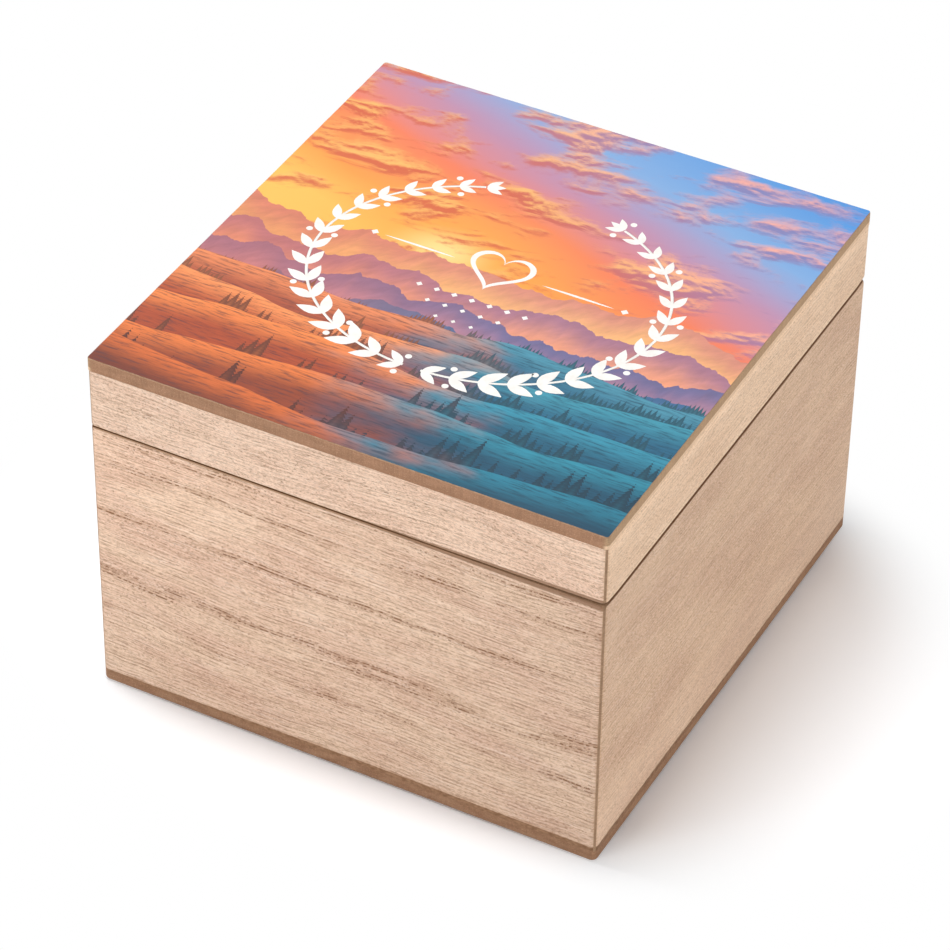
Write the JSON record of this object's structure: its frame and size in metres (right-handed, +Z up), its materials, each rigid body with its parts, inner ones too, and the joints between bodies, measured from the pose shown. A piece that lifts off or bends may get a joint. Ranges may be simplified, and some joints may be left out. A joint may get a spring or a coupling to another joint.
{
  "type": "keepsake box",
  "caption": "Small rectangular wooden keepsake box with mitred veneered walls, a hinged lid with a printed top, and a flat underside.",
  "frame": {"origin": "middle of the flat underside, on the surface that the box stands on", "axes": "+X to the right along the front, +Y from the front to the hinges at the back, +Z up"},
  "size_m": [0.121, 0.1316, 0.0885],
  "materials": {
    "base_veneer": "open-pored light tan veneer, sanded, matte clear coat",
    "lid_veneer": "open-pored light tan veneer, sanded, matte clear coat",
    "inner_veneer": "light tan veneer, sanded, uncoated",
    "wall_core": "medium-density fibreboard, cut and sanded edges",
    "top_board": "medium-density fibreboard, sawn edge, smooth face",
    "bottom_board": "medium-density fibreboard, dark sawn edge, smooth face",
    "printed_sheet": null,
    "hinge_brass": "satin brass",
    "pin_brass": "drawn brass rod",
    "screw_brass": "turned brass"
  },
  "bodies": {
    "base": {"bottom_panel": "bottom_board", "base_front_core": "wall_core", "base_right_core": "wall_core", "base_back_core": "wall_core", "base_left_core": "wall_core", "base_front_outer_veneer": "base_veneer", "base_right_outer_veneer": "base_veneer", "base_back_outer_veneer": "base_veneer", "base_left_outer_veneer": "base_veneer", "base_front_inner_veneer": "inner_veneer", "base_right_inner_veneer": "inner_veneer", "base_back_inner_veneer": "inner_veneer", "base_left_inner_veneer": "inner_veneer", "hinge_left_base_leaf": "hinge_brass", "hinge_left_pin": "pin_brass", "hinge_right_base_leaf": "hinge_brass", "hinge_right_pin": "pin_brass", "base_hinge_screws": "screw_brass"},
    "lid": {"lid_front_core": "wall_core", "lid_right_core": "wall_core", "lid_back_core": "wall_core", "lid_left_core": "wall_core", "lid_front_outer_veneer": "lid_veneer", "lid_right_outer_veneer": "lid_veneer", "lid_back_outer_veneer": "lid_veneer", "lid_left_outer_veneer": "lid_veneer", "lid_front_inner_veneer": "inner_veneer", "lid_right_inner_veneer": "inner_veneer", "lid_back_inner_veneer": "inner_veneer", "lid_left_inner_veneer": "inner_veneer", "top_panel": "top_board", "top_print": "printed_sheet", "hinge_left_lid_leaf": "hinge_brass", "hinge_right_lid_leaf": "hinge_brass", "lid_hinge_screws": "screw_brass"}
  },
  "joints": [
    {"name": "lid_hinge", "type": "hinge", "parent": "base", "child": "lid", "pos_m": [0, 0.06545, 0.0707], "axis": [-1, 0, 0], "range_deg": [0, 95]}
  ]
}
